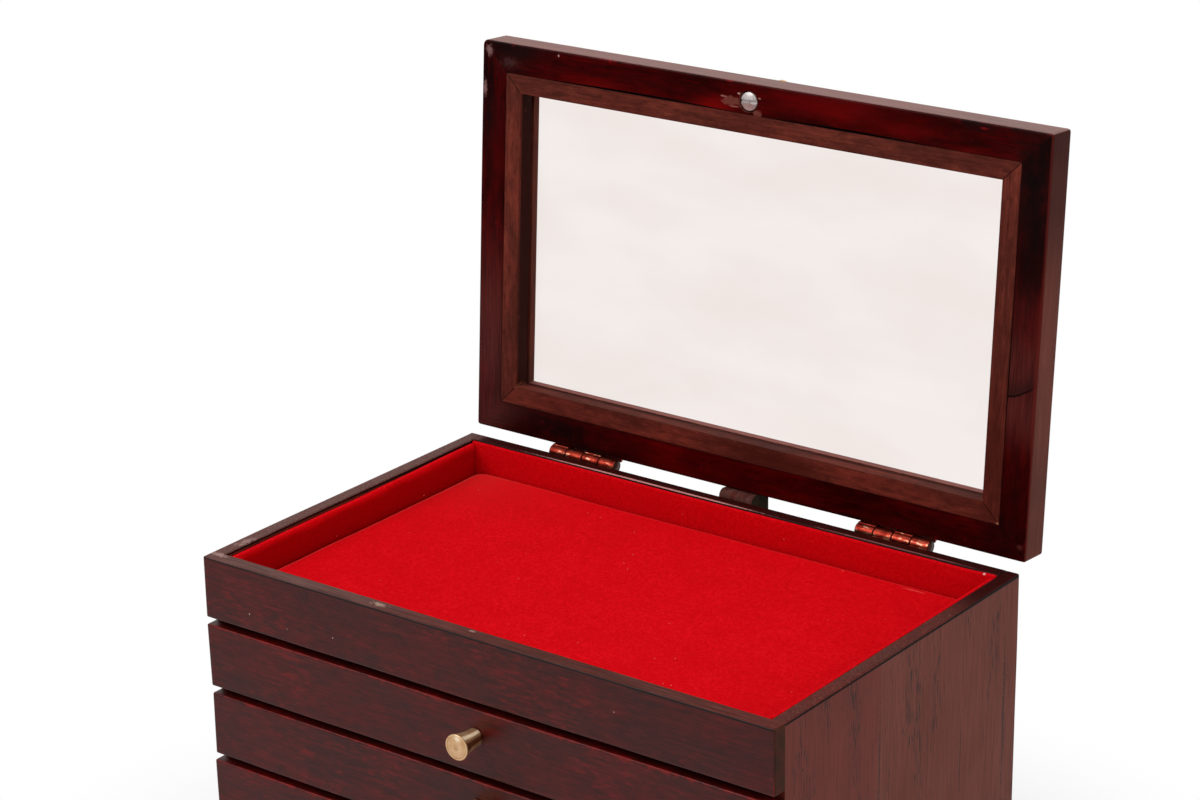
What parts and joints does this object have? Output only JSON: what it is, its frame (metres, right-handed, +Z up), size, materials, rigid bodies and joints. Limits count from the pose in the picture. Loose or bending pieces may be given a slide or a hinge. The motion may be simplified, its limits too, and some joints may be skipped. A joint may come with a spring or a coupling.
{
  "type": "chest of drawers",
  "caption": "Tabletop wooden chest of shallow drawers with turned brass knobs, under a velvet-lined tray with a hinged glazed lid, for jewellery or small collections.",
  "frame": {"origin": "middle of the base board's underside", "axes": "+Z up, -Y out of the drawer fronts, +X to the right of someone facing the fronts"},
  "size_m": [0.3, 0.2426, 0.3926],
  "materials": {
    "front_lacquer": "satin stained lacquer",
    "side_lacquer": "satin stained lacquer",
    "lid_lacquer": "gloss stained lacquer",
    "bead_wood": "matt stained wood",
    "inner_wood": "bare wood",
    "velvet": "velvet pile",
    "brass": "turned satin",
    "hinge_brass": "lacquered over",
    "steel": "bright",
    "glass": "clear"
  },
  "bodies": {
    "carcase": {"base_board": "side_lacquer", "side_panel_left": "side_lacquer", "side_panel_right": "side_lacquer", "back_panel": "side_lacquer", "front_rail": "front_lacquer", "tray_floor": "inner_wood", "lining_front": "velvet", "lining_back": "velvet", "lining_left": "velvet", "lining_right": "velvet", "tray_pad": "velvet", "lid_stop": "side_lacquer", "hinge_left_carcase_leaf": "hinge_brass", "hinge_right_carcase_leaf": "hinge_brass", "hinge_left_pin": "hinge_brass", "hinge_right_pin": "hinge_brass"},
    "lid": {"lid_frame_front": "lid_lacquer", "glass_bead_front": "bead_wood", "lid_frame_right": "lid_lacquer", "glass_bead_right": "bead_wood", "lid_frame_back": "lid_lacquer", "glass_bead_back": "bead_wood", "lid_frame_left": "lid_lacquer", "glass_bead_left": "bead_wood", "lid_glass": "glass", "lid_knob": "brass", "lid_knob_screw": "steel", "hinge_left_lid_leaf": "hinge_brass", "hinge_right_lid_leaf": "hinge_brass"},
    "drawer_1": {"drawer_1_front": "front_lacquer", "drawer_1_box": "inner_wood", "drawer_1_bottom": "inner_wood", "drawer_1_pad": "velvet", "drawer_1_knob": "brass", "drawer_1_knob_screw": "steel"},
    "drawer_2": {"drawer_2_front": "front_lacquer", "drawer_2_box": "inner_wood", "drawer_2_bottom": "inner_wood", "drawer_2_pad": "velvet", "drawer_2_knob": "brass", "drawer_2_knob_screw": "steel"},
    "drawer_3": {"drawer_3_front": "front_lacquer", "drawer_3_box": "inner_wood", "drawer_3_bottom": "inner_wood", "drawer_3_pad": "velvet", "drawer_3_knob": "brass", "drawer_3_knob_screw": "steel"},
    "drawer_4": {"drawer_4_front": "front_lacquer", "drawer_4_box": "inner_wood", "drawer_4_bottom": "inner_wood", "drawer_4_pad": "velvet", "drawer_4_knob": "brass", "drawer_4_knob_screw": "steel"},
    "drawer_5": {"drawer_5_front": "front_lacquer", "drawer_5_box": "inner_wood", "drawer_5_bottom": "inner_wood", "drawer_5_pad": "velvet", "drawer_5_knob": "brass", "drawer_5_knob_screw": "steel"}
  },
  "joints": [
    {"name": "lid_hinge", "type": "hinge", "parent": "carcase", "child": "lid", "pos_m": [0, 0.09636, 0.2033], "axis": [1, 0, 0], "range_deg": [0, 93.87]},
    {"name": "drawer_1_slide", "type": "slide", "parent": "carcase", "child": "drawer_1", "axis": [0, -1, 0], "range_m": [0, 0.12]},
    {"name": "drawer_2_slide", "type": "slide", "parent": "carcase", "child": "drawer_2", "axis": [0, -1, 0], "range_m": [0, 0.12]},
    {"name": "drawer_3_slide", "type": "slide", "parent": "carcase", "child": "drawer_3", "axis": [0, -1, 0], "range_m": [0, 0.12]},
    {"name": "drawer_4_slide", "type": "slide", "parent": "carcase", "child": "drawer_4", "axis": [0, -1, 0], "range_m": [0, 0.12]},
    {"name": "drawer_5_slide", "type": "slide", "parent": "carcase", "child": "drawer_5", "axis": [0, -1, 0], "range_m": [0, 0.12]}
  ]
}
